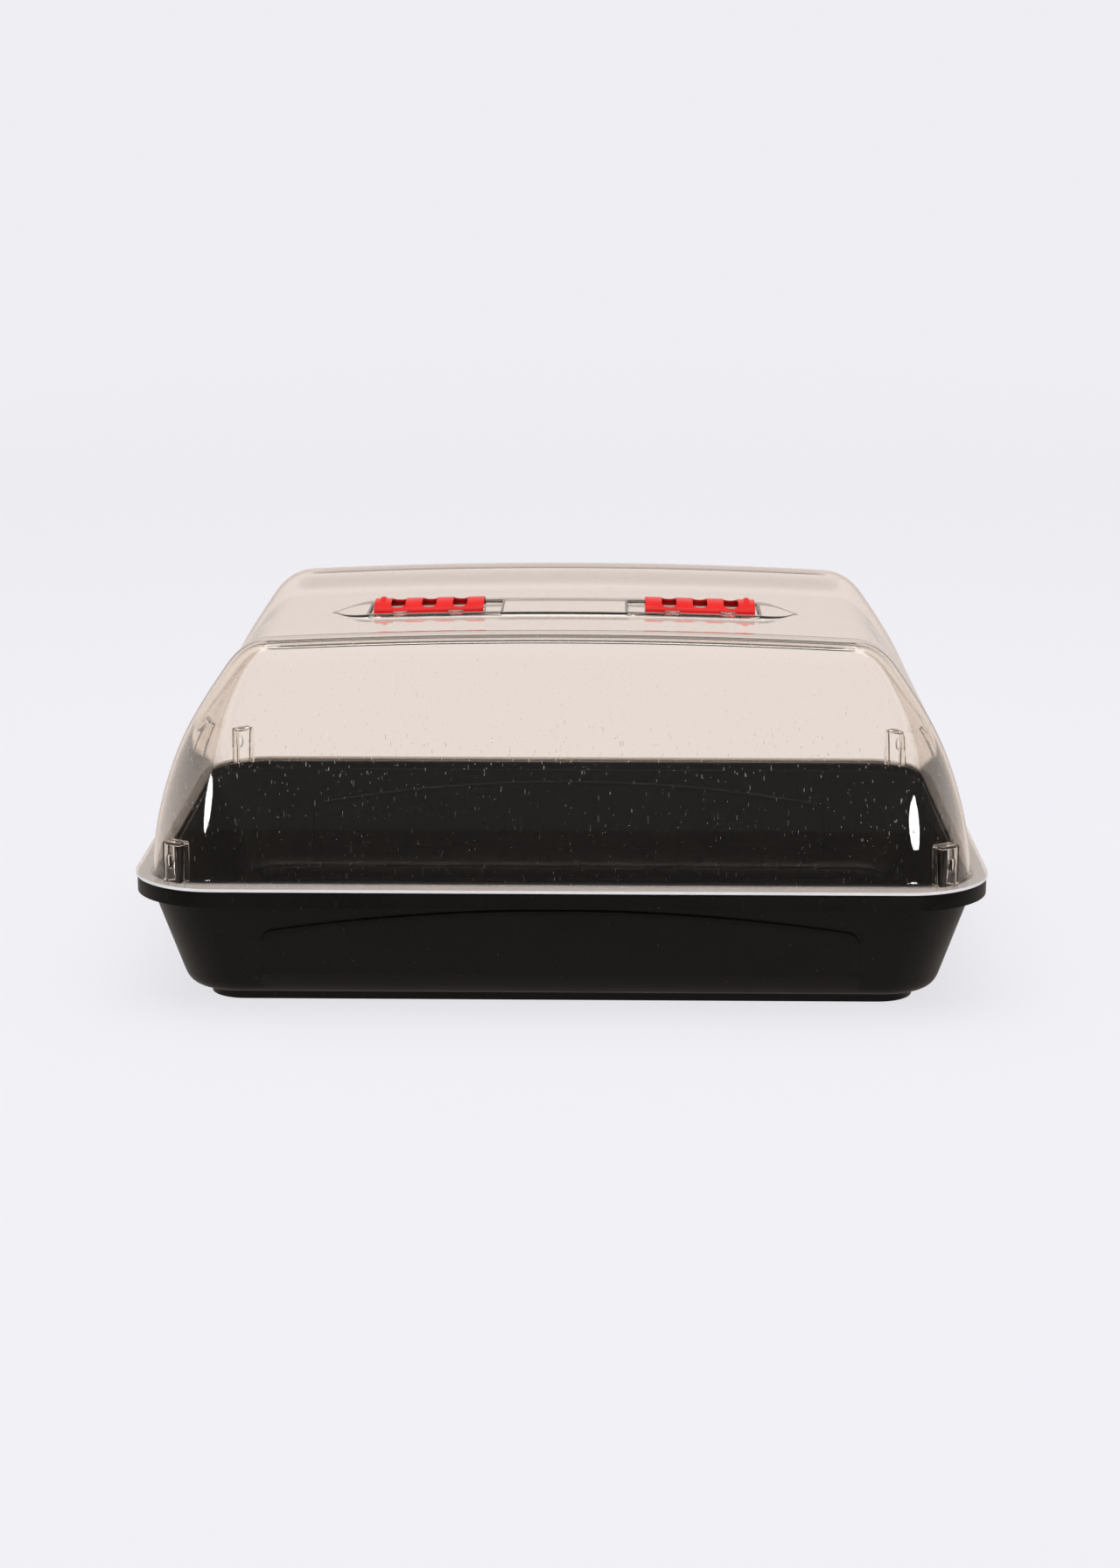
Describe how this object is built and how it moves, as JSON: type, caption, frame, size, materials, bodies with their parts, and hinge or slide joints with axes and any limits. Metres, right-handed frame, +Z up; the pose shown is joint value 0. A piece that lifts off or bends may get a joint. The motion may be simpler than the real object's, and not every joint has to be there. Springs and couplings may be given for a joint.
{
  "type": "humidity dome tray",
  "caption": "Black plastic seed tray with a clear lift-off dome; sliding vents in the dome's top open and shut.",
  "frame": {"origin": "centre of the bounding box's bottom, on the surface that the tray's foot stands on", "axes": "+X along the long side, -Y towards the front, +Z up"},
  "size_m": [0.59, 0.41, 0.2569],
  "materials": {
    "black_plastic": "fine satin moulded black polypropylene",
    "clear_plastic": "clear glossy moulded polystyrene with light scratches",
    "red_plastic": "satin moulded red plastic"
  },
  "bodies": {
    "tray": {"tray": "black_plastic"},
    "dome": {"dome": "clear_plastic"},
    "left_vent": {"left_vent_slider": "red_plastic"},
    "right_vent": {"right_vent_slider": "red_plastic"}
  },
  "joints": [
    {"name": "dome_lift", "type": "slide", "parent": "tray", "child": "dome", "axis": [0, 0, 1], "range_m": [0, 0.2]},
    {"name": "left_vent_slide", "type": "slide", "parent": "dome", "child": "left_vent", "axis": [0.9997, 0, 0.0241], "range_m": [0, 0.0112]},
    {"name": "right_vent_slide", "type": "slide", "parent": "dome", "child": "right_vent", "axis": [-0.9997, 0, 0.0241], "range_m": [0, 0.0112]}
  ]
}
